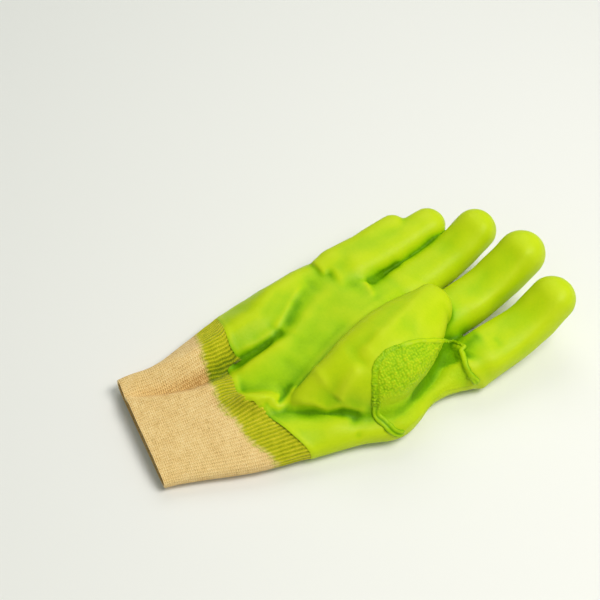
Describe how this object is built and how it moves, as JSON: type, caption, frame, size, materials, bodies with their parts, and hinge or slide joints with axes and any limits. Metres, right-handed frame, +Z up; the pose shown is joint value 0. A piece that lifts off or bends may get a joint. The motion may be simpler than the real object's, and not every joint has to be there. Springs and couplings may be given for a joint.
{
  "type": "pvc coated work glove",
  "caption": "Coated knit work glove lying palm up, with a folded thumb, a looped patch in the thumb's crotch and a ribbed knit wrist.",
  "frame": {"origin": "on the flat underside of the palm, 50 mm from the dipped edge towards the fingers", "axes": "+Z up from the table, +Y from the wrist to the fingertips, +X to the thumb's side"},
  "size_m": [0.1322, 0.2626, 0.0512],
  "materials": {
    "coating": "satin",
    "dyed_knit": "matte",
    "bare_knit": "matte",
    "coated_terry": "matte"
  },
  "bodies": {
    "root": {"coated_shell": "coating", "dyed_band": "dyed_knit", "knit_cuff": "bare_knit", "thumb_patch": "coated_terry", "patch_welt": "coating"}
  },
  "joints": []
}
